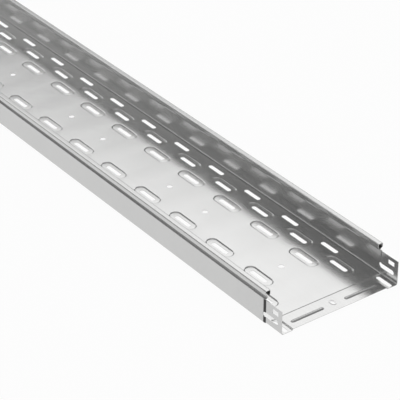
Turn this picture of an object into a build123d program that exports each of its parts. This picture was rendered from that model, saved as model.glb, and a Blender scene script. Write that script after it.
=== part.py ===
"""Perforated cable tray: a roll-formed sheet steel channel with hollow beads along its
top edges, rows of dished slots in its raised bottom and a joggled end that slides
into the next length.

Millimetres. X runs along the tray with the joggled end at -X, Y across it and Z up.
The origin is the middle of the footprint, on the underside.
"""

import os
from math import atan2, cos, floor, pi, sin, tan

from build123d import *

# Overall sizes
LENGTH = 2000.0
WIDTH = 200.0
HEIGHT = 50.8
SHEET = 0.8

# Bottom: a raised middle between two lower side strips
RISE = 2.0
SIDE_STRIP = 19.5
STEP_RUN = 1.5

# Edge bead: a groove pressed into the wall carries a hollow return
LEDGE_DROP = 12.8
GROOVE_DROP = 10.0
BEAD_WALL = 5.0
GROOVE_DEPTH = 6.0
BEAD_WIDTH = 8.5
RETURN_DROP = 5.5
HEM_DROP = 8.6
HEM_SLANT = 0.9

# Outer radii of the bends, and the inner radius of those bent the other way
CORNER_RADIUS = 3.0
BEND_RADIUS = 1.4
INNER_BEND = 0.6

# Joggled end
TONGUE_LENGTH = 32.5
JOGGLE_LENGTH = 1.2
FITTING_GAP = 0.2
TONGUE_DROP = 0.5

# Slots and holes, in rows along the tray
PITCH = 87.5
SLOT_LENGTH = 34.0
SLOT_WIDTH = 7.0
DISH_LENGTH = 55.0
DISH_WIDTH = 20.0
DISH_DEPTH = 1.3
RIM_RUN = 2.2
END_SIDES = 3
INNER_ROW = 39.1
OUTER_ROW = 64.8
STRIP_ROW_INSET = 15.0
FIRST_SLOT = 93.0
END_MARGIN = 80.0
CENTRE_HOLE = 8.5
HOLES_IN = 3
BOLTED_SLOTS = 2

# Ribs and holes of the joggled end, measured back from its edge
RIB_SETBACK = 13.2
RIB_OFFSET = 45.0
RIB_LENGTH = 54.0
RIB_WIDTH = 4.5
RIB_CREST = 1.2
RIB_HEIGHT = 1.2
OVAL_SETBACK = 16.5
OVAL_LENGTH = 8.0
OVAL_WIDTH = 5.0
CORNER_SLOT_SETBACK = 1.4
CORNER_SLOT_INSET = 11.0
CORNER_SLOT_LENGTH = 30.0
CORNER_SLOT_WIDTH = 7.0
WALL_HOLE_SETBACK = 13.5
WALL_HOLE_HEIGHT = 28.8
WALL_HOLE_LENGTH = 12.0
WALL_HOLE_WIDTH = 6.5
WALL_SLOT_SETBACK = 23.0
WALL_SLOT_HEIGHT = 14.8
WALL_SLOT_LENGTH = 30.5

# Places that follow from the sizes
HALF_WIDTH = WIDTH / 2
STEP_FOOT = HALF_WIDTH - SIDE_STRIP
LEDGE_HEIGHT = HEIGHT - LEDGE_DROP
FLOOR_TOP = RISE + SHEET
NEAR_END = -LENGTH / 2
FAR_END = LENGTH / 2
JOGGLE = NEAR_END + TONGUE_LENGTH
STRIP_ROW = HALF_WIDTH - STRIP_ROW_INSET
TONGUE_INSET = SHEET + FITTING_GAP
TONGUE_TOP = LEDGE_HEIGHT - TONGUE_DROP


def mirrored(half, radii):
    """The whole line, left to right, from the right half of a symmetric one."""
    points = [(-y, z) for y, z in reversed(half)] + list(half)
    return FilletPolyline(*points, radius=list(reversed(radii)) + list(radii))


def sheet_face(line):
    """The cut face of the sheet that lies inside an outer line, in the plane of X."""
    outline = offset(line, amount=SHEET, side=Side.LEFT, closed=True)
    return Plane.YZ * make_face(outline.edges())


def floor_and_wall(wall_top):
    """Right half of the outer line: raised middle, side strip, corner and wall."""
    points = [
        (STEP_FOOT - STEP_RUN, RISE),
        (STEP_FOOT, 0),
        (HALF_WIDTH, 0),
        (HALF_WIDTH, wall_top),
    ]
    return points, [INNER_BEND, BEND_RADIUS, CORNER_RADIUS]


def channel_line():
    """The outer line of the section, with the groove and bead along each edge."""
    points, radii = floor_and_wall(LEDGE_HEIGHT)
    bead_inside = HALF_WIDTH - BEAD_WIDTH
    points += [
        (HALF_WIDTH - GROOVE_DEPTH, HEIGHT - GROOVE_DROP),
        (HALF_WIDTH, HEIGHT - BEAD_WALL),
        (HALF_WIDTH, HEIGHT),
        (bead_inside, HEIGHT),
        (bead_inside, HEIGHT - RETURN_DROP),
        (bead_inside + HEM_SLANT, HEIGHT - HEM_DROP),
    ]
    radii += [BEND_RADIUS, INNER_BEND] + [BEND_RADIUS] * 4
    return mirrored(points, radii)


def tongue_line():
    """The outer line of the joggled end, which nests inside the next length."""
    side = HALF_WIDTH - TONGUE_INSET
    slope = atan2(RISE, STEP_RUN)
    step_foot = STEP_FOOT + SHEET * tan(slope / 2) + FITTING_GAP
    points = [
        (step_foot - STEP_RUN, FLOOR_TOP),
        (step_foot, SHEET),
        (side, SHEET),
        (side, TONGUE_TOP),
    ]
    return mirrored(points, [INNER_BEND, BEND_RADIUS, CORNER_RADIUS])


def region_above(line):
    """What a line encloses below its two upper ends."""
    lid = Line(line @ 1, line @ 0)
    return Plane.YZ * make_face(line.edges() + [lid])


def joggle():
    """The wall that steps the sheet in from the channel to the tongue."""
    outer = region_above(mirrored(*floor_and_wall(TONGUE_TOP)))
    tongue = tongue_line()
    inner = region_above(tongue) - sheet_face(tongue)
    step = extrude(outer - inner, amount=JOGGLE_LENGTH, dir=(1, 0, 0))
    return Pos(JOGGLE, 0, 0) * step


def channel():
    """The whole sheet before its slots and holes are punched."""
    main = extrude(sheet_face(channel_line()), amount=FAR_END - JOGGLE, dir=(1, 0, 0))
    reach = TONGUE_LENGTH + JOGGLE_LENGTH
    tongue = extrude(sheet_face(tongue_line()), amount=reach, dir=(1, 0, 0))
    return Pos(JOGGLE, 0, 0) * main + Pos(NEAR_END, 0, 0) * tongue + joggle()


def few_sided_slot(length, width):
    """Points round a slot whose ends have few sides, which keeps its many copies light."""
    reach = (length - width) / 2
    turns = [pi * (side / END_SIDES - 0.5) for side in range(END_SIDES + 1)]
    end = [(reach + width / 2 * cos(turn), width / 2 * sin(turn)) for turn in turns]
    return end + [(-x, -y) for x, y in end]


def flat_face(points):
    """The flat face inside a closed ring of points."""
    return make_face(Polyline(*points, close=True)).face()


def pressing(low, low_z, high, high_z):
    """The solid between two like outlines, with flat sloping sides."""
    lower = [(x, y, low_z) for x, y in low]
    upper = [(x, y, high_z) for x, y in high]
    around = list(range(len(lower)))
    following = around[1:] + around[:1]
    sides = [flat_face([lower[a], lower[b], upper[b], upper[a]]) for a, b in zip(around, following)]
    return Solid(Shell([flat_face(lower), flat_face(upper), *sides]))


def dish(base):
    """What lies between a dish's flat bottom and its rim, at a given height of that rim."""
    bottom = few_sided_slot(DISH_LENGTH - 2 * RIM_RUN, DISH_WIDTH - 2 * RIM_RUN)
    rim = few_sided_slot(DISH_LENGTH, DISH_WIDTH)
    return pressing(bottom, base - DISH_DEPTH, rim, base)


def rib(base):
    """What lies between a stiffening rib's foot, at a given height, and its crest."""
    foot = few_sided_slot(RIB_LENGTH, RIB_WIDTH)
    crest = few_sided_slot(RIB_LENGTH - RIB_WIDTH + RIB_CREST, RIB_CREST)
    return Rot(0, 0, 90) * pressing(foot, base, crest, base + RIB_HEIGHT)


def rib_places():
    """A rib on each side of the joggled end."""
    return [Pos(NEAR_END + RIB_SETBACK, side * RIB_OFFSET, 0) for side in (-1, 1)]


def row(first, sides):
    """Places of one row along the tray, on each of the given sides of its middle."""
    count = floor((FAR_END - END_MARGIN - first) / PITCH) + 1
    return [[Pos(first + PITCH * step, side, 0) for side in sides] for step in range(count)]


def dish_places():
    """The inner rows, and the outer rows half a pitch nearer the joggled end."""
    first = JOGGLE + FIRST_SLOT
    inner = row(first, (-INNER_ROW, INNER_ROW))
    outer = row(first - PITCH / 2, (-OUTER_ROW, OUTER_ROW))
    return sum(inner + outer, [])


def floor_cut(shape, top):
    """A punch of the given outline from below the sheet up to a height."""
    return Pos(0, 0, -SHEET) * extrude(shape, amount=top + 2 * SHEET)


def strip_punches():
    """The plain slots of the side strips, true round where brackets bolt on near the ends."""
    pairs = row(JOGGLE + FIRST_SLOT, (-STRIP_ROW, STRIP_ROW))
    bolted = pairs[:BOLTED_SLOTS] + pairs[-BOLTED_SLOTS:]
    others = pairs[BOLTED_SLOTS:-BOLTED_SLOTS]
    round_slot = floor_cut(SlotOverall(SLOT_LENGTH, SLOT_WIDTH), SHEET)
    plain_slot = floor_cut(flat_face(few_sided_slot(SLOT_LENGTH, SLOT_WIDTH)), SHEET)
    punches = [place * round_slot for place in sum(bolted, [])]
    return punches + [place * plain_slot for place in sum(others, [])]


def centre_punches():
    """Round holes on the centre line, at two out of each three slots."""
    hole = floor_cut(Circle(CENTRE_HOLE / 2), FLOOR_TOP)
    places = sum(row(JOGGLE + FIRST_SLOT, (0,)), [])
    return [place * hole for step, place in enumerate(places) if step % HOLES_IN != 1]


def wall_cut(shape, x, z):
    """A punch of the given outline across both walls."""
    across = Plane((x, 0, z), x_dir=(1, 0, 0), z_dir=(0, -1, 0))
    return extrude(across * shape, amount=WIDTH, both=True)


def tongue_punches():
    """The holes of the joggled end, through its floor and both its walls."""
    top = FLOOR_TOP + SHEET
    corner_slot = floor_cut(SlotOverall(CORNER_SLOT_LENGTH, CORNER_SLOT_WIDTH), top)
    corner_x = NEAR_END + CORNER_SLOT_SETBACK + CORNER_SLOT_LENGTH / 2
    corner_y = HALF_WIDTH - CORNER_SLOT_INSET
    oval = floor_cut(SlotOverall(OVAL_LENGTH, OVAL_WIDTH), top)
    wall_hole = Rectangle(WALL_HOLE_LENGTH, WALL_HOLE_WIDTH)
    wall_slot = SlotOverall(WALL_SLOT_LENGTH, SLOT_WIDTH)
    return [
        Pos(NEAR_END + OVAL_SETBACK, 0, 0) * oval,
        Pos(corner_x, -corner_y, 0) * corner_slot,
        Pos(corner_x, corner_y, 0) * corner_slot,
        wall_cut(wall_hole, NEAR_END + WALL_HOLE_SETBACK, WALL_HOLE_HEIGHT),
        wall_cut(wall_slot, NEAR_END + WALL_SLOT_SETBACK, WALL_SLOT_HEIGHT),
    ]


def tray():
    """The finished tray: the sheet, its dishes and ribs pressed, and its holes punched."""
    slot = flat_face(few_sided_slot(SLOT_LENGTH, SLOT_WIDTH))
    hollow = dish(FLOOR_TOP) + floor_cut(slot, FLOOR_TOP - DISH_DEPTH)
    added = [place * dish(RISE) for place in dish_places()]
    added += [place * rib(FLOOR_TOP + SHEET) for place in rib_places()]
    taken = [place * hollow for place in dish_places()]
    taken += [place * rib(FLOOR_TOP) for place in rib_places()]
    return channel() + added - (taken + strip_punches() + centre_punches() + tongue_punches())


os.makedirs("parts", exist_ok=True)
part = tray()
part.label = "tray_channel"
export_step(part, "parts/tray_channel.step")
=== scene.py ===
"""Looks of a perforated cable tray: one punched and roll-formed sheet of galvanised steel.

Metres, in the part's own frame: X along the tray with the joggled end at -X, Y across
it and Z up. The sheet starts as flat blanks, one for each end and two as long as a pitch of
the slots, with their outlines, creases and punched holes. A geometry node tree lays the blanks
in a row, bends them to the section, presses the joggled end and gives the sheet its thickness.
"""
from math import atan2, ceil, cos, pi, radians, sin, tan

import bpy
from mathutils import Matrix, Vector
from mathutils.geometry import delaunay_2d_cdt


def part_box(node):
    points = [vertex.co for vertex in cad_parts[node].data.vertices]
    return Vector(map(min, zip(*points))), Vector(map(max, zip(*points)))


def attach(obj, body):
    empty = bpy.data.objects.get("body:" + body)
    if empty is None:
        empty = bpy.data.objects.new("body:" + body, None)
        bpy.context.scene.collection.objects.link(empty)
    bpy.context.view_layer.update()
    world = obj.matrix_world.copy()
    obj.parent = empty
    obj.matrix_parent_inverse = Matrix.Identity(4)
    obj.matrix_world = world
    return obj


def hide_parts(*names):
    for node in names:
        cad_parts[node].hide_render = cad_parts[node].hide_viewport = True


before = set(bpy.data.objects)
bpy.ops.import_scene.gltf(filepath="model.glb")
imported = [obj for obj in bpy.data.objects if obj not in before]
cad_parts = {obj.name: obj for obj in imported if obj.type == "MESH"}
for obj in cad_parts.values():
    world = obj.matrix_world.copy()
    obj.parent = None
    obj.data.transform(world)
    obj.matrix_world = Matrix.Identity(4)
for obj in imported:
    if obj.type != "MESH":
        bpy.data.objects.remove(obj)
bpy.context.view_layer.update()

LOW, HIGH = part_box("tray_channel")

# Overall sizes, as the solid has them
NEAR_END, FAR_END = LOW.x, HIGH.x
HALF_WIDTH = HIGH.y
HEIGHT = HIGH.z
SHEET = 0.0008

# Section: a raised middle of the bottom, lower side strips, and a groove below each hollow bead
RISE = 0.002
SIDE_STRIP = 0.0195
STEP_RUN = 0.0015
LEDGE_DROP = 0.0128
GROOVE_DROP = 0.0098
BEAD_WALL = 0.0064
GROOVE_DEPTH = 0.0045
BEAD_WIDTH = 0.0085
RETURN_DROP = 0.0055
HEM_DROP = 0.0086
HEM_SLANT = 0.0009

# Radii of the section's bends
CORNER_RADIUS = 0.003
BEND_RADIUS = 0.0014
INNER_BEND = 0.0006
LEDGE_RADIUS = 0.0016
BEAD_RADIUS = 0.0020

# How finely bends, round ends, pressed slopes and the joggle are divided
BEND_STEP = radians(16)
END_STEPS = 10
SLOPE_STEPS = 6
STEP_LINES = 24

# The flat strip kept beside each bend, and the ring beside each pressed slope, as a share of its run
SUPPORT = 0.0002
RING_SHARE = 0.1

# Joggled end: an S bend steps the sheet up by its thickness, and in by that and a fitting gap,
# over a shorter run in the bottom than in the walls. Up the wall, the lift has faded out at the
# stretch height, and the inset fades out over the slit's run above the tongue's top edge.
# The beads are cut off at the lips' end.
LIP_END = NEAR_END + 0.0338
FLOOR_STEP = (NEAR_END + 0.0309, NEAR_END + 0.0331)
WALL_STEP = (NEAR_END + 0.0317, NEAR_END + 0.0369)
FITTING_GAP = 0.0002
TONGUE_DROP = 0.0005
STRETCH_HEIGHT = 0.010
SLIT_RUN = 0.003

# Painted shade on the walls' outer faces over the joggle: the band, its soft edge and its dark colour, which
# stand in for the dark reflection in the S bend.
# A face there is an outer one where its normal's Y times its own Y is above a limit.
FOLD_SHADE_BAND = (NEAR_END + 0.0322, NEAR_END + 0.0376)
FOLD_SHADE_EDGE = 0.0008
PAINTED_FOLD_SHADE_COLOUR = (0.06, 0.06, 0.06, 1)
OUTER_LIMIT = 0.03

# Slots and holes, in rows along the tray; the second cell of each three has no centre hole
PITCH = 0.0875
SLOT = (0.034, 0.007)
DISH = (0.055, 0.020)
DISH_DEPTH = 0.0013
RIM_RUN = 0.0022
INNER_ROW = 0.0391
OUTER_ROW = 0.0648
STRIP_ROW = HALF_WIDTH - 0.015
FIRST_SLOT = NEAR_END + 0.1255
CELLS = 21
HOLES_IN = 3
PLAIN_TURN = 1
CENTRE_HOLE = 0.0085

# Ribs and holes of the joggled end
RIB_X = NEAR_END + 0.0132
RIB_OFFSET = 0.045
RIB = (0.054, 0.0055)
RIB_HEIGHT = 0.0015
OVAL_X = NEAR_END + 0.0165
OVAL = (0.008, 0.005)
OVAL_DISH = (0.0135, 0.010)
OVAL_DEPTH = 0.0002
OVAL_RUN = 0.0018
CORNER_SLOT = (0.029, 0.007)
CORNER_SLOT_AT = (NEAR_END + 0.0159, HALF_WIDTH - 0.011)
WALL_HOLE = (0.012, 0.0065)
WALL_HOLE_AT = (NEAR_END + 0.0135, 0.0288)
WALL_SLOT = (0.0305, 0.007)
WALL_SLOT_AT = (NEAR_END + 0.023, 0.0148)

# Zinc: its two shades, and its roughness over the usual spread of grain and mottling together
ZINC_SHADES = ((0.555, 0.555, 0.553, 1), (0.615, 0.615, 0.610, 1))
ROUGHNESS = (0.19, 0.26)
SPREAD = (0.6, 1.4)

# Rolling grain, clouds and crystals: their scales, the crystals' share, and how far they stand up
GRAIN_SCALE = (6, 700, 700)
CLOUD_SCALE = 14.0
CRYSTAL_SCALE = 160.0
CRYSTAL_SHARE = 0.25
GRAIN_BUMP = {"Strength": 0.04, "Distance": 0.0002}
CLOUD_BUMP = {"Strength": 0.012, "Distance": 0.004}

# Gaps closed in cutting the blanks, in joining them and in closing the sheet
CUT_GAP = 0.000001
BLANK_GAP = 0.00002
SHEET_GAP = 0.000002

# The least square of a run's length, and the least bend that makes a crisp edge
SMALLEST_SQUARE = 1e-12
SHARP_ANGLE = radians(40)

# Camera: its place, its line of sight and its lens, and the size of the picture
CAMERA_AT = (-2.5215, 1.3425, 1.396)
SIGHT = (0.690, -0.505, -0.519)
FOCAL_PIXELS = 1865
PICTURE = 400
SENSOR = 36.0
SIGHT_END = 100

# Room: levels of its light by height, from the horizon up, on its bright side and its dark side
BRIGHT_SIDE = [(0.0, 0.45), (0.22, 0.42), (0.34, 0.42), (0.42, 0.38), (0.46, 0.68), (0.50, 1.32),
               (0.54, 1.72), (0.66, 1.62), (0.75, 0.80), (0.82, 0.42), (1.0, 0.60)]
DARK_SIDE = [(0.0, 0.90), (0.10, 0.55), (0.26, 0.50), (0.35, 1.25), (0.42, 1.25), (0.47, 0.48),
             (0.52, 0.10), (0.60, 0.12), (0.70, 0.28), (0.82, 0.36), (1.0, 0.60)]
BRIGHTEST = 2.0
WINDOW = 1.2

# Where the bright side and the window begin and are full, by direction along, across and up
SIDE_ALONG = (0.05, 0.30)
SIDE_ACROSS = (0.22, -0.02)
WINDOW_ALONG = (-0.20, -0.45)
WINDOW_ACROSS = (-0.35, -0.15)
WINDOW_UP = (0.80, 0.62)

# Floor: its size, the gap below the tray, its colour, and how much of it is plain white
FLOOR_SIZE = 30.0
FLOOR_GAP = 0.0004
FLOOR_COLOUR = (0.9, 0.9, 0.9, 1)
WHITE_SHARE = 0.95

# Places that follow from the sizes
LEDGE_HEIGHT = HEIGHT - LEDGE_DROP
STRIP_FOOT = HALF_WIDTH - SIDE_STRIP
TONGUE_INSET = SHEET + FITTING_GAP
TONGUE_SIDE = HALF_WIDTH - TONGUE_INSET
TONGUE_TOP = LEDGE_HEIGHT - TONGUE_DROP
WALL_FROM = TONGUE_SIDE - 1.5 * SHEET
FIRST_CELL = FIRST_SLOT - PITCH / 2
LAST_CELL = FIRST_CELL + CELLS * PITCH


def bent_line(points, radii):
    """Stations along an outer line: its corners rounded, with a support beside each bend."""
    stations = [points[0]]
    for before, corner, after, radius in zip(points, points[1:], points[2:], radii):
        inward = (corner - before).normalized()
        outward = (after - corner).normalized()
        turn = -inward.angle_signed(outward)
        side = 1 if turn > 0 else -1
        reach = radius * tan(abs(turn) / 2)
        if not reach:
            stations.append(corner)
            continue
        start = corner - inward * reach
        centre = start + Vector((-inward.y, inward.x)) * side * radius
        steps = ceil(abs(turn) / BEND_STEP)
        stations.append(start - inward * SUPPORT)
        for step in range(steps + 1):
            stations.append(centre + Matrix.Rotation(turn * step / steps, 2) @ (start - centre))
        stations.append(corner + outward * (reach + SUPPORT))
    return stations + [points[-1]]


def section_line():
    """Right half of the section's outer line, from the middle of the floor to the bead's hem."""
    bead_inside = HALF_WIDTH - BEAD_WIDTH
    points = [
        (0, RISE),
        (STRIP_FOOT - STEP_RUN, RISE),
        (STRIP_FOOT, 0),
        (HALF_WIDTH, 0),
        (HALF_WIDTH, STRETCH_HEIGHT),
        (HALF_WIDTH, LEDGE_HEIGHT),
        (HALF_WIDTH - GROOVE_DEPTH, HEIGHT - GROOVE_DROP),
        (HALF_WIDTH, HEIGHT - BEAD_WALL),
        (HALF_WIDTH, HEIGHT),
        (bead_inside, HEIGHT),
        (bead_inside, HEIGHT - RETURN_DROP),
        (bead_inside + HEM_SLANT, HEIGHT - HEM_DROP),
    ]
    radii = [INNER_BEND, BEND_RADIUS, CORNER_RADIUS, 0, LEDGE_RADIUS, INNER_BEND, BEND_RADIUS, BEAD_RADIUS]
    radii += [BEND_RADIUS] * 2
    return bent_line([Vector(point) for point in points], radii)


def between(value, low, high):
    """How far a value has come from a low bound to a high one, from 0 to 1."""
    return min(max((value - low) / (high - low), 0), 1)


def joggled(point):
    """Where the joggled end has a point of the section's outer line."""
    across, height = point
    if height > CORNER_RADIUS:
        lift = SHEET * (1 - between(height, CORNER_RADIUS, STRETCH_HEIGHT))
        return Vector((TONGUE_SIDE, height + lift))
    nesting = SHEET * tan(atan2(RISE, STEP_RUN) / 2) + FITTING_GAP
    shift = nesting * between(across, 0, STRIP_FOOT - STEP_RUN - INNER_BEND)
    shift -= (nesting + TONGUE_INSET) * between(across, STRIP_FOOT + BEND_RADIUS, HALF_WIDTH - CORNER_RADIUS)
    return Vector((across + shift, height + SHEET))


SECTION = section_line()
JOGGLED_SECTION = [joggled(point) for point in SECTION]


def running_lengths(line):
    """The length along a line from its start to each of its points."""
    lengths = [0]
    for start, end in zip(line, line[1:]):
        lengths.append(lengths[-1] + (end - start).length)
    return lengths


ROUND = running_lengths(SECTION)


def place_round(line, y, z):
    """How far round the flat sheet a point of the formed section lies."""
    point = Vector((y, z))
    best = None
    for start, end, low, high in zip(line, line[1:], ROUND, ROUND[1:]):
        run = end - start
        share = between((point - start).dot(run), 0, max(run.length_squared, SMALLEST_SQUARE))
        miss = (start + run * share - point).length
        if best is None or miss < best[0]:
            best = miss, low + (high - low) * share
    return best[1]


STRIP_ROUND = place_round(SECTION, STRIP_ROW, 0)
TONGUE_ROUND = place_round(JOGGLED_SECTION, TONGUE_SIDE, TONGUE_TOP)
CORNER_ROUND = place_round(JOGGLED_SECTION, CORNER_SLOT_AT[1], SHEET)


def slot_ring(x, y, length, width, relief=0.0, across=False):
    """Points round a slot, with the middles of its straight sides."""
    reach = (length - width) / 2
    radius = width / 2
    turns = [pi * (step / END_STEPS - 0.5) for step in range(END_STEPS + 1)]
    end = [(reach + radius * cos(turn), radius * sin(turn)) for turn in turns] + [(0, radius)]
    ring = end + [(-along, -beside) for along, beside in end]
    if across:
        ring = [(-beside, along) for along, beside in ring]
    return [(x + along, y + beside, relief) for along, beside in ring]


def wall_ring(corners, side):
    """A hole of the joggled end's wall, from its outline in X and Z, laid out on the flat sheet."""
    return [(x, side * place_round(JOGGLED_SECTION, TONGUE_SIDE, z), 0) for x, z in corners]


def pressed_rings(x, y, low, high, depth):
    """Rings on the soft slope from an inner outline, that much above the sheet, to an outer one."""
    shares = [step / SLOPE_STEPS for step in range(SLOPE_STEPS + 1)]
    rings = []
    for share in [-RING_SHARE] + shares + [1 + RING_SHARE]:
        length, width = (inner + (outer - inner) * share for inner, outer in zip(low, high))
        relief = depth * (1 + cos(pi * min(max(share, 0), 1))) / 2
        rings.append(slot_ring(x, y, length, width, relief))
    return rings


def rib_rings(x, y):
    """Rings on a raised rib with a round crown, across the tray."""
    length, width = RIB
    shares = [step / SLOPE_STEPS for step in range(1, SLOPE_STEPS + 1)]
    rings = []
    for share in [RING_SHARE] + shares + [1 + RING_SHARE]:
        relief = RIB_HEIGHT * cos(pi / 2 * min(share, 1))
        rings.append(slot_ring(x, y, length - width * (1 - share), width * share, relief, across=True))
    return rings


def dished_hole(x, y, hole, rim, run, depth):
    """The rings of a hole in the flat bottom of a dish, whose slope has that run up to its rim."""
    bottom = [size - 2 * run for size in rim]
    return [slot_ring(x, y, *hole, -depth)] + pressed_rings(x, y, bottom, rim, -depth)


def dish(x, y):
    """The rings of one dished slot."""
    return dished_hole(x, y, SLOT, DISH, RIM_RUN, DISH_DEPTH)


def inside(x, y, outline):
    """Whether a point lies inside a closed outline."""
    crossed = False
    for start, end in zip(outline, outline[1:] + outline[:1]):
        if (start[1] > y) != (end[1] > y):
            if x < start[0] + (end[0] - start[0]) * (y - start[1]) / (end[1] - start[1]):
                crossed = not crossed
    return crossed


def flat_blank(name, outline, creases, rings, holes):
    """A flat sheet inside an outline, cut along its creases and rings, with its holes left out."""
    lines = [(outline, True)]
    lines += [(crease, False) for crease in creases]
    lines += [(ring, True) for ring in rings + holes]
    points = []
    edges = []
    for line, closed in lines:
        first = len(points)
        points += line
        count = len(line)
        edges += [(first + i, first + (i + 1) % count) for i in range(count if closed else count - 1)]
    flat = [Vector(point[:2]) for point in points]
    placed, _, faces, origins, _, _ = delaunay_2d_cdt(flat, edges, [], 0, CUT_GAP)
    kept = []
    for face in faces:
        x = sum(placed[i].x for i in face) / len(face)
        y = sum(placed[i].y for i in face) / len(face)
        if inside(x, y, outline) and not any(inside(x, y, hole) for hole in holes):
            kept.append(face)
    used = sorted({i for face in kept for i in face})
    renumbered = {old: new for new, old in enumerate(used)}
    reliefs = [points[origins[i][0]][2] if origins[i] else 0 for i in used]
    mesh = bpy.data.meshes.new(name)
    vertices = [(placed[i].x, placed[i].y, relief) for i, relief in zip(used, reliefs)]
    mesh.from_pydata(vertices, [], [[renumbered[i] for i in face] for face in kept])
    return mesh


def crease_lines(start, end):
    """The creases of both halves between two places along the tray."""
    inner = [side * station for station in ROUND[1:-1] for side in (-1, 1)]
    return [[(start, place, 0), (end, place, 0)] for place in inner]


def box_outline(start, end, reach):
    """The four corners of a plain blank."""
    return [(start, -reach, 0), (end, -reach, 0), (end, reach, 0), (start, reach, 0)]


def cell_blank(name, centre_hole):
    """One pitch of the sheet: the inner rows' slots in its middle, the outer ones halved by its ends."""
    end = FIRST_CELL + PITCH
    places = [(FIRST_SLOT, side * INNER_ROW) for side in (-1, 1)]
    places += [(x, side * OUTER_ROW) for x in (FIRST_CELL, end) for side in (-1, 1)]
    dishes = [dish(*place) for place in places]
    holes = [rings[0] for rings in dishes]
    holes += [slot_ring(FIRST_SLOT, side * STRIP_ROUND, *SLOT) for side in (-1, 1)]
    if centre_hole:
        holes.append(slot_ring(FIRST_SLOT, 0, CENTRE_HOLE, CENTRE_HOLE))
    rings = [ring for dish_rings in dishes for ring in dish_rings[1:]]
    outline = box_outline(FIRST_CELL, end, ROUND[-1])
    return flat_blank(name, outline, crease_lines(FIRST_CELL, end), rings, holes)


def far_blank():
    """The plain end, from the last half slots to the square cut."""
    dishes = [dish(LAST_CELL, side * OUTER_ROW) for side in (-1, 1)]
    holes = [rings[0] for rings in dishes]
    rings = [ring for dish_rings in dishes for ring in dish_rings[1:]]
    outline = box_outline(LAST_CELL, FAR_END, ROUND[-1])
    return flat_blank("far_blank", outline, crease_lines(LAST_CELL, FAR_END), rings, holes)


def near_blank():
    """The joggled end, whose walls stop below the beads, and the sheet up to the first cell."""
    dishes = [dish(FIRST_CELL, side * OUTER_ROW) for side in (-1, 1)]
    pressed = [ring for dish_rings in dishes for ring in dish_rings[1:]]
    oval = dished_hole(OVAL_X, 0, OVAL, OVAL_DISH, OVAL_RUN, OVAL_DEPTH)
    pressed += oval[1:]
    pressed += rib_rings(RIB_X, -RIB_OFFSET) + rib_rings(RIB_X, RIB_OFFSET)
    holes = [rings[0] for rings in dishes] + [oval[0]]
    corners = ((-0.5, -0.5), (0.5, -0.5), (0.5, 0.5), (-0.5, 0.5))
    wall_hole = [(WALL_HOLE_AT[0] + a * WALL_HOLE[0], WALL_HOLE_AT[1] + b * WALL_HOLE[1]) for a, b in corners]
    wall_slot = [point[:2] for point in slot_ring(*WALL_SLOT_AT, *WALL_SLOT)]
    for side in (-1, 1):
        holes.append(slot_ring(CORNER_SLOT_AT[0], side * CORNER_ROUND, *CORNER_SLOT))
        holes.append(wall_ring(wall_hole, side))
        holes.append(wall_ring(wall_slot, side))
    tip = [(NEAR_END, TONGUE_ROUND, 0), (LIP_END, TONGUE_ROUND, 0), (LIP_END, ROUND[-1], 0)]
    half_outline = tip + [(FIRST_CELL, ROUND[-1], 0)]
    outline = [(x, -y, z) for x, y, z in half_outline] + half_outline[::-1]
    first, last = FLOOR_STEP[0] - SUPPORT, WALL_STEP[1] + SUPPORT
    stations = [first + (last - first) * step / STEP_LINES for step in range(STEP_LINES + 1)]
    reaches = [ROUND[-1] if x > LIP_END else TONGUE_ROUND for x in stations]
    lines = [[(x, -reach, 0), (x, reach, 0)] for x, reach in zip(stations, reaches)]
    lines += crease_lines(NEAR_END, FIRST_CELL)
    return flat_blank("tray_ends", outline, lines, pressed, holes)


def section_mesh():
    """The section's outer line as a chain of edges that carries its joggled places."""
    mesh = bpy.data.meshes.new("section_line")
    count = len(SECTION)
    mesh.from_pydata([(0, *point) for point in SECTION], [(i, i + 1) for i in range(count - 1)], [])
    places = mesh.attributes.new("joggled", "FLOAT_VECTOR", "POINT")
    for item, point in zip(places.data, JOGGLED_SECTION):
        item.vector = (0, *point)
    return mesh


def add(tree, kind, inputs=None, **settings):
    """A node of a tree, with its settings, and its inputs set or linked by name or number."""
    node = tree.nodes.new(kind)
    for name, value in settings.items():
        setattr(node, name, value)
    for key, value in (inputs or {}).items():
        if isinstance(value, bpy.types.NodeSocket):
            tree.links.new(value, node.inputs[key])
        else:
            node.inputs[key].default_value = value
    return node


def number(tree, operation, *values):
    """The result of one operation on numbers."""
    return add(tree, "ShaderNodeMath", dict(enumerate(values)), operation=operation).outputs[0]


def laid_row(tree, ends, sizes):
    """The ends and all the cells between them as one flat sheet."""
    shift = add(tree, "ShaderNodeCombineXYZ", {"X": sizes["Pitch"]}).outputs[0]
    places = add(tree, "GeometryNodeMeshLine", {"Count": sizes["Cells"], "Offset": shift}).outputs[0]
    index = add(tree, "GeometryNodeInputIndex").outputs[0]
    turn = number(tree, "MODULO", index, sizes["Holes In"])
    inputs = {2: turn, 3: PLAIN_TURN}
    plain = add(tree, "FunctionNodeCompare", inputs, data_type="INT", operation="EQUAL").outputs[0]
    holed = add(tree, "FunctionNodeBooleanMath", {0: plain}, operation="NOT").outputs[0]
    join = add(tree, "GeometryNodeJoinGeometry")
    tree.links.new(ends, join.inputs[0])
    for blank, chosen in (("Plain Cell", plain), ("Holed Cell", holed)):
        cell = add(tree, "GeometryNodeObjectInfo", {"Object": sizes[blank]}).outputs["Geometry"]
        inputs = {"Points": places, "Selection": chosen, "Instance": cell}
        tree.links.new(add(tree, "GeometryNodeInstanceOnPoints", inputs).outputs[0], join.inputs[0])
    realized = add(tree, "GeometryNodeRealizeInstances", {0: join.outputs[0]}).outputs[0]
    return add(tree, "GeometryNodeMergeByDistance", {"Geometry": realized, "Distance": BLANK_GAP}).outputs[0]


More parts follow.
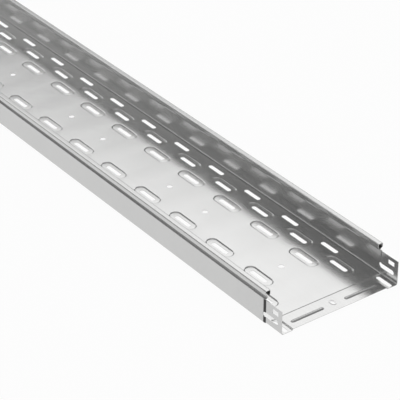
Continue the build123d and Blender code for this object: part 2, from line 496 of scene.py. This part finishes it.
def roll_formed(tree, sheet, sizes):
    """The flat sheet bent to its section, with its joggled end pressed in and its dishes down."""
    flat = add(tree, "ShaderNodeSeparateXYZ", {0: add(tree, "GeometryNodeInputPosition").outputs[0]})
    along, across, relief = flat.outputs
    line = add(tree, "GeometryNodeObjectInfo", {"Object": sizes["Section"]}).outputs["Geometry"]
    curve = add(tree, "GeometryNodeMeshToCurve", {0: line}).outputs[0]
    places = add(tree, "GeometryNodeInputNamedAttribute", {"Name": "joggled"}, data_type="FLOAT_VECTOR")
    beside = number(tree, "ABSOLUTE", across)
    inputs = {"Curves": curve, "Value": places.outputs[0], "Length": beside}
    sample = add(tree, "GeometryNodeSampleCurve", inputs, mode="LENGTH", data_type="FLOAT_VECTOR")
    up_wall = add(tree, "ShaderNodeMapRange", {0: beside, 1: sizes["Strip"], 2: sizes["Corner"]}).outputs[0]
    bounds = []
    for bound in ("Start", "End"):
        inputs = {0: up_wall, 2: sizes["Floor Step " + bound], 3: sizes["Wall Step " + bound]}
        bounds.append(add(tree, "ShaderNodeMix", inputs).outputs[0])
    ramp = {"Value": along, 1: bounds[0], 2: bounds[1], 3: 1.0, 4: 0.0}
    pressed = add(tree, "ShaderNodeMapRange", ramp, interpolation_type="SMOOTHSTEP").outputs[0]
    over = number(tree, "ADD", sizes["Tongue Edge"], sizes["Slit Run"])
    fade = {"Value": beside, 1: sizes["Tongue Edge"], 2: over, 3: 1.0, 4: 0.0}
    pressed = number(tree, "MULTIPLY", pressed, add(tree, "ShaderNodeMapRange", fade).outputs[0])
    inputs = {0: pressed, 4: sample.outputs["Position"], 5: sample.outputs["Value"]}
    section = add(tree, "ShaderNodeMix", inputs, data_type="VECTOR").outputs[1]
    _, side, height = add(tree, "ShaderNodeSeparateXYZ", {0: section}).outputs
    side = number(tree, "MULTIPLY", side, number(tree, "SIGN", across))
    height = number(tree, "ADD", height, relief)
    formed = add(tree, "ShaderNodeCombineXYZ", {"X": along, "Y": side, "Z": height}).outputs[0]
    return add(tree, "GeometryNodeSetPosition", {"Geometry": sheet, "Position": formed}).outputs[0]


def thickened(tree, surface, sizes):
    """The formed surface, which is the sheet's underside, closed to a sheet of one thickness."""
    normal = add(tree, "GeometryNodeInputNormal").outputs[0]
    inputs = {"Geometry": surface, "Name": "lift", "Value": normal}
    kind = {"data_type": "FLOAT_VECTOR", "domain": "POINT"}
    marked = add(tree, "GeometryNodeStoreNamedAttribute", inputs, **kind).outputs[0]
    inputs = {"Mesh": marked, "Offset Scale": 0.0, "Individual": False}
    raised = add(tree, "GeometryNodeExtrudeMesh", inputs, mode="FACES")
    lift = add(tree, "GeometryNodeInputNamedAttribute", {"Name": "lift"}, data_type="FLOAT_VECTOR").outputs[0]
    lift = add(tree, "ShaderNodeVectorMath", {0: lift, "Scale": sizes["Sheet"]}, operation="SCALE").outputs[0]
    inputs = {"Geometry": raised.outputs["Mesh"], "Selection": raised.outputs["Top"], "Offset": lift}
    upper = add(tree, "GeometryNodeSetPosition", inputs).outputs[0]
    under = add(tree, "GeometryNodeFlipFaces", {0: marked}).outputs[0]
    join = add(tree, "GeometryNodeJoinGeometry")
    tree.links.new(upper, join.inputs[0])
    tree.links.new(under, join.inputs[0])
    merge = {"Geometry": join.outputs[0], "Distance": SHEET_GAP}
    closed = add(tree, "GeometryNodeMergeByDistance", merge).outputs[0]
    return add(tree, "GeometryNodeRemoveAttribute", {"Geometry": closed, "Name": "lift"}).outputs[0]


def shaded(tree, solid, sizes):
    """Smooth bends with crisp punched edges, in one material."""
    smooth = add(tree, "GeometryNodeSetShadeSmooth", {"Geometry": solid}, domain="FACE").outputs[0]
    angle = add(tree, "GeometryNodeInputMeshEdgeAngle").outputs[0]
    sharp = number(tree, "GREATER_THAN", angle, SHARP_ANGLE)
    inputs = {"Geometry": smooth, "Selection": sharp, "Shade Smooth": False}
    crisp = add(tree, "GeometryNodeSetShadeSmooth", inputs, domain="EDGE").outputs[0]
    realized = add(tree, "GeometryNodeRealizeInstances", {0: crisp}).outputs[0]
    inputs = {"Geometry": realized, "Material": sizes["Material"]}
    return add(tree, "GeometryNodeSetMaterial", inputs).outputs[0]


def channel_tree():
    """The tree that makes the whole tray from its blanks, and the identifier of each input."""
    kinds = {
        "Holed Cell": "Object",
        "Plain Cell": "Object",
        "Section": "Object",
        "Cells": "Int",
        "Holes In": "Int",
        "Pitch": "Float",
        "Floor Step Start": "Float",
        "Floor Step End": "Float",
        "Wall Step Start": "Float",
        "Wall Step End": "Float",
        "Strip": "Float",
        "Corner": "Float",
        "Tongue Edge": "Float",
        "Slit Run": "Float",
        "Sheet": "Float",
        "Material": "Material",
    }
    tree = bpy.data.node_groups.new("punched_channel", "GeometryNodeTree")
    tree.interface.new_socket("Geometry", in_out="OUTPUT", socket_type="NodeSocketGeometry")
    tree.interface.new_socket("Geometry", in_out="INPUT", socket_type="NodeSocketGeometry")
    identifiers = {}
    for name, kind in kinds.items():
        socket = tree.interface.new_socket(name, in_out="INPUT", socket_type="NodeSocket" + kind)
        identifiers[name] = socket.identifier
    sizes = tree.nodes.new("NodeGroupInput").outputs
    sheet = laid_row(tree, sizes["Geometry"], sizes)
    surface = roll_formed(tree, sheet, sizes)
    solid = thickened(tree, surface, sizes)
    output = tree.nodes.new("NodeGroupOutput")
    tree.links.new(shaded(tree, solid, sizes), output.inputs[0])
    return tree, identifiers


def placed_object(name, mesh):
    """An object of the scene for a mesh."""
    item = bpy.data.objects.new(name, mesh)
    bpy.context.scene.collection.objects.link(item)
    return item


def join_meshes(target, other):
    """The other object's mesh added to the target's, and the other object removed."""
    with bpy.context.temp_override(active_object=target, selected_editable_objects=[target, other]):
        bpy.ops.object.join()


def plain_copy(item, name):
    """A plain mesh object with the evaluated shape of another."""
    graph = bpy.context.evaluated_depsgraph_get()
    mesh = bpy.data.meshes.new_from_object(item.evaluated_get(graph))
    mesh.name = name
    return placed_object(name, mesh)


def tray(material):
    """The punched, formed and joggled sheet as one closed mesh."""
    ends = placed_object("tray_blank", near_blank())
    far = placed_object("far_blank", far_blank())
    blanks = {
        "Holed Cell": placed_object("holed_cell", cell_blank("holed_cell", True)),
        "Plain Cell": placed_object("plain_cell", cell_blank("plain_cell", False)),
        "Section": placed_object("section_line", section_mesh()),
    }
    join_meshes(ends, far)
    tree, identifiers = channel_tree()
    modifier = ends.modifiers.new("punched_channel", "NODES")
    modifier.node_group = tree
    values = {
        **blanks,
        "Cells": CELLS,
        "Holes In": HOLES_IN,
        "Pitch": PITCH,
        "Floor Step Start": FLOOR_STEP[0],
        "Floor Step End": FLOOR_STEP[1],
        "Wall Step Start": WALL_STEP[0],
        "Wall Step End": WALL_STEP[1],
        "Strip": place_round(SECTION, STRIP_FOOT + BEND_RADIUS, 0),
        "Corner": place_round(SECTION, HALF_WIDTH, CORNER_RADIUS),
        "Tongue Edge": TONGUE_ROUND,
        "Slit Run": SLIT_RUN,
        "Sheet": SHEET,
        "Material": material,
    }
    for name, value in values.items():
        modifier[identifiers[name]] = value
    piece = plain_copy(ends, "tray_sheet")
    for item in [ends, *blanks.values()]:
        bpy.data.objects.remove(item)
    return piece


def cleared_nodes(owner):
    """The node tree of a material or a world, emptied."""
    owner.use_nodes = True
    owner.node_tree.nodes.clear()
    return owner.node_tree


def painted_fold_shade(tree, place):
    """Where shade is painted on the walls' outer faces over the joggle, from 0 to 1."""
    along, across, up = add(tree, "ShaderNodeSeparateXYZ", {0: place}).outputs
    rise = {0: along, 1: FOLD_SHADE_BAND[0], 2: FOLD_SHADE_BAND[0] + FOLD_SHADE_EDGE, 3: 0.0, 4: 1.0}
    fall = {0: along, 1: FOLD_SHADE_BAND[1] - FOLD_SHADE_EDGE, 2: FOLD_SHADE_BAND[1], 3: 1.0, 4: 0.0}
    band = [add(tree, "ShaderNodeMapRange", ramp).outputs[0] for ramp in (rise, fall)]
    wall = number(tree, "GREATER_THAN", number(tree, "ABSOLUTE", across), WALL_FROM)
    normal = add(tree, "ShaderNodeNewGeometry").outputs["True Normal"]
    facing = add(tree, "ShaderNodeSeparateXYZ", {0: normal}).outputs[1]
    outer = number(tree, "GREATER_THAN", number(tree, "MULTIPLY", facing, across), OUTER_LIMIT)
    below = number(tree, "LESS_THAN", up, LEDGE_HEIGHT)
    outer = number(tree, "MULTIPLY", number(tree, "MULTIPLY", wall, below), outer)
    return number(tree, "MULTIPLY", number(tree, "MULTIPLY", *band), outer)


def galvanised_steel():
    """Zinc-coated sheet: rolling grain along the tray, faint crystal clouds and soft mottling, with painted
    shade on the joggle's outer faces.
    """
    material = bpy.data.materials.new("galvanised_steel")
    tree = cleared_nodes(material)
    place = add(tree, "ShaderNodeTexCoord").outputs["Object"]
    along = add(tree, "ShaderNodeMapping", {"Vector": place, "Scale": GRAIN_SCALE}).outputs[0]
    fold_shade = painted_fold_shade(tree, place)
    grain = add(tree, "ShaderNodeTexNoise", {"Vector": along, "Scale": 1.0, "Detail": 4.0}).outputs[0]
    cloud = add(tree, "ShaderNodeTexNoise", {"Vector": place, "Scale": CLOUD_SCALE, "Detail": 3.0}).outputs[0]
    crystal = add(tree, "ShaderNodeTexVoronoi", {"Vector": place, "Scale": CRYSTAL_SCALE})
    facet = add(tree, "ShaderNodeSeparateColor", {0: crystal.outputs["Color"]}).outputs[0]
    facet = number(tree, "MULTIPLY", facet, CRYSTAL_SHARE)
    mottle = number(tree, "ADD", facet, number(tree, "MULTIPLY", cloud, 1 - CRYSTAL_SHARE))
    shades = {0: mottle, 6: ZINC_SHADES[0], 7: ZINC_SHADES[1]}
    zinc = add(tree, "ShaderNodeMix", shades, data_type="RGBA").outputs[2]
    # Painted shade: the joggle's outer faces take a dark colour in place of their dark reflection.
    colour = add(tree, "ShaderNodeMix", {0: fold_shade, 6: zinc, 7: PAINTED_FOLD_SHADE_COLOUR}, data_type="RGBA").outputs[2]
    both = number(tree, "ADD", grain, mottle)
    ramp = {0: both, 1: SPREAD[0], 2: SPREAD[1], 3: ROUGHNESS[0], 4: ROUGHNESS[1]}
    rough = add(tree, "ShaderNodeMapRange", ramp).outputs[0]
    waves = add(tree, "ShaderNodeBump", {"Height": cloud, **CLOUD_BUMP}).outputs[0]
    bump = add(tree, "ShaderNodeBump", {"Height": grain, "Normal": waves, **GRAIN_BUMP}).outputs[0]
    finish = {"Base Color": colour, "Metallic": 1.0, "Roughness": rough, "Normal": bump}
    shader = add(tree, "ShaderNodeBsdfPrincipled", finish).outputs[0]
    add(tree, "ShaderNodeOutputMaterial", {0: shader})
    return material


def camera():
    """The camera at the viewing angle, with a long lens."""
    data = bpy.data.cameras.new("camera")
    data.sensor_width = SENSOR
    data.lens = SENSOR * FOCAL_PIXELS / PICTURE
    data.clip_end = SIGHT_END
    item = placed_object("camera", data)
    item.location = CAMERA_AT
    item.rotation_euler = Vector(SIGHT).to_track_quat("-Z", "Y").to_euler()
    bpy.context.scene.camera = item


def seen_directly(tree):
    """Whether a ray comes from the camera, off a glossy face or through a clear one."""
    path = add(tree, "ShaderNodeLightPath").outputs
    seen = number(tree, "MAXIMUM", path["Is Camera Ray"], path["Is Glossy Ray"])
    return number(tree, "MAXIMUM", seen, path["Is Transmission Ray"])


def floor():
    """A pale floor that looks white and keeps a faint shadow."""
    material = bpy.data.materials.new("studio_floor")
    tree = cleared_nodes(material)
    matt = add(tree, "ShaderNodeBsdfDiffuse", {"Color": FLOOR_COLOUR}).outputs[0]
    white = add(tree, "ShaderNodeEmission", {"Color": (1, 1, 1, 1), "Strength": 1.0}).outputs[0]
    share = number(tree, "MULTIPLY", seen_directly(tree), WHITE_SHARE)
    mixed = add(tree, "ShaderNodeMixShader", {0: share, 1: matt, 2: white}).outputs[0]
    add(tree, "ShaderNodeOutputMaterial", {0: mixed})
    mesh = bpy.data.meshes.new("studio_floor")
    half = FLOOR_SIZE / 2
    corners = [(x, y, -FLOOR_GAP) for x, y in ((-half, -half), (half, -half), (half, half), (-half, half))]
    mesh.from_pydata(corners, [], [(0, 1, 2, 3)])
    mesh.materials.append(material)
    placed_object("studio_floor", mesh)


def levels(tree, value, stops):
    """Light levels over a value, from a list of places and levels."""
    node = add(tree, "ShaderNodeValToRGB", {0: value})
    elements = node.color_ramp.elements
    for place, _ in stops[1:-1]:
        elements.new(place)
    for element, (place, level) in zip(elements, stops):
        grey = level / BRIGHTEST
        element.position = place
        element.color = (grey, grey, grey, 1)
    return number(tree, "MULTIPLY", node.outputs[0], BRIGHTEST)


def sector(tree, value, edge):
    """A soft edge of a lit sector of the room: 0 at its first place, rising to 1 at its second."""
    start, full = edge
    ramp = {"Value": value, 1: min(edge), 2: max(edge), 3: float(start > full), 4: float(start < full)}
    return add(tree, "ShaderNodeMapRange", ramp, interpolation_type="SMOOTHSTEP").outputs[0]


def studio():
    """A soft room: a bright screen over the far right, darker elsewhere, and a window behind."""
    world = bpy.data.worlds.new("studio")
    tree = cleared_nodes(world)
    direction = add(tree, "ShaderNodeTexCoord").outputs["Generated"]
    along, across, up = add(tree, "ShaderNodeSeparateXYZ", {0: direction}).outputs
    bright = levels(tree, up, BRIGHT_SIDE)
    dark = levels(tree, up, DARK_SIDE)
    side = number(tree, "MULTIPLY", sector(tree, along, SIDE_ALONG), sector(tree, across, SIDE_ACROSS))
    walls = add(tree, "ShaderNodeMix", {0: side, 2: dark, 3: bright}).outputs[0]
    window = number(tree, "MULTIPLY", sector(tree, along, WINDOW_ALONG), sector(tree, across, WINDOW_ACROSS))
    window = number(tree, "MULTIPLY", window, sector(tree, up, WINDOW_UP))
    level = add(tree, "ShaderNodeMix", {0: window, 2: walls, 3: WINDOW}).outputs[0]
    sky = add(tree, "ShaderNodeBackground", {"Color": (1, 1, 1, 1), "Strength": level}).outputs[0]
    add(tree, "ShaderNodeOutputWorld", {0: sky})
    bpy.context.scene.world = world


bpy.context.scene.view_settings.view_transform = "Standard"
camera()
floor()
studio()
sheet = tray(galvanised_steel())
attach(sheet, "root")
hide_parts("tray_channel")
